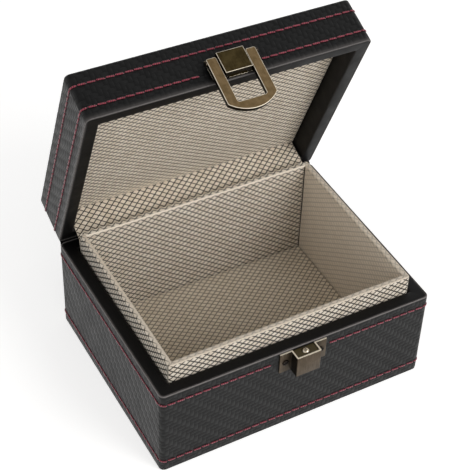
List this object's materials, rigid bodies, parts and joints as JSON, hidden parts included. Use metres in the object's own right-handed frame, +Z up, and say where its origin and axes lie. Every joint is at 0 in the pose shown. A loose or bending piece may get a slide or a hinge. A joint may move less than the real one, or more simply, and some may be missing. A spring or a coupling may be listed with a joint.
{
  "type": "signal-blocking key box",
  "caption": "Leathercloth-covered box for car keys, with a shielding liner, a lined inner tray, a soft-hinged lid and a swinging hasp latch.",
  "frame": {"origin": "middle of the face the box stands on", "axes": "+Z up, +X along the front to the right, the front with the latch faces -Y"},
  "size_m": [0.1306, 0.1283, 0.1502],
  "materials": {
    "leathercloth": "satin",
    "smooth_leathercloth": "satin",
    "board": "matte",
    "card": "matte",
    "lining": "matte",
    "shielding": "satin",
    "foam": "matte",
    "cover_sheet": "matte",
    "thread": "satin",
    "antique_bronze": "satin",
    "spring_steel": "satin",
    "ball_steel": "polished",
    "black_acetal": "matte"
  },
  "bodies": {
    "base": {"base_leather_wrap": "leathercloth", "outer_hinge_strip": "leathercloth", "base_rim_strip": "smooth_leathercloth", "base_bottom_board": "board", "base_front_board": "board", "base_back_board": "board", "base_left_board": "board", "base_right_board": "board", "tray_front_card": "card", "tray_back_card": "card", "tray_left_card": "card", "tray_right_card": "card", "tray_floor_card": "card", "tray_front_lining": "lining", "tray_back_lining": "lining", "tray_left_lining": "lining", "tray_right_lining": "lining", "tray_floor_lining": "lining", "inner_hinge_strip": "lining", "base_shielding_liner": "shielding", "bottom_cover_sheet": "cover_sheet", "base_upper_stitching": "thread", "base_lower_stitching": "thread", "keeper_strap": "antique_bronze", "keeper_screws": "antique_bronze", "detent_spring": "spring_steel", "detent_housing": "black_acetal"},
    "lid": {"lid_leather_wrap": "leathercloth", "lid_rim_strip": "smooth_leathercloth", "lid_top_board": "board", "lid_front_board": "board", "lid_back_board": "board", "lid_left_board": "board", "lid_right_board": "board", "lid_panel_card": "card", "lid_panel_lining": "lining", "lid_shielding_liner": "shielding", "lid_foam_pad": "foam", "lid_lower_stitching": "thread", "lid_upper_stitching": "thread", "lid_latch_plate": "antique_bronze", "hasp_pivot_pin": "antique_bronze", "latch_plate_screws": "antique_bronze"},
    "hasp": {"latch_hasp": "antique_bronze"},
    "ball": {"detent_ball": "ball_steel"}
  },
  "joints": [
    {"name": "lid_hinge", "type": "hinge", "parent": "base", "child": "lid", "pos_m": [0, 0.0515, 0.04685], "axis": [-1, 0, 0], "range_deg": [-67.5, 32], "deforming": ["outer_hinge_strip", "inner_hinge_strip"]},
    {"name": "hasp_hinge", "type": "hinge", "parent": "lid", "child": "hasp", "pos_m": [0.0009, 0.01858, 0.14762], "axis": [-1, 0, 0], "range_deg": [0, 180]},
    {"name": "ball_press", "type": "slide", "parent": "base", "child": "ball", "axis": [0, 0, -1], "range_m": [0, 0.0008], "stiffness_N_per_m": 250, "deforming": ["detent_spring"]}
  ]
}
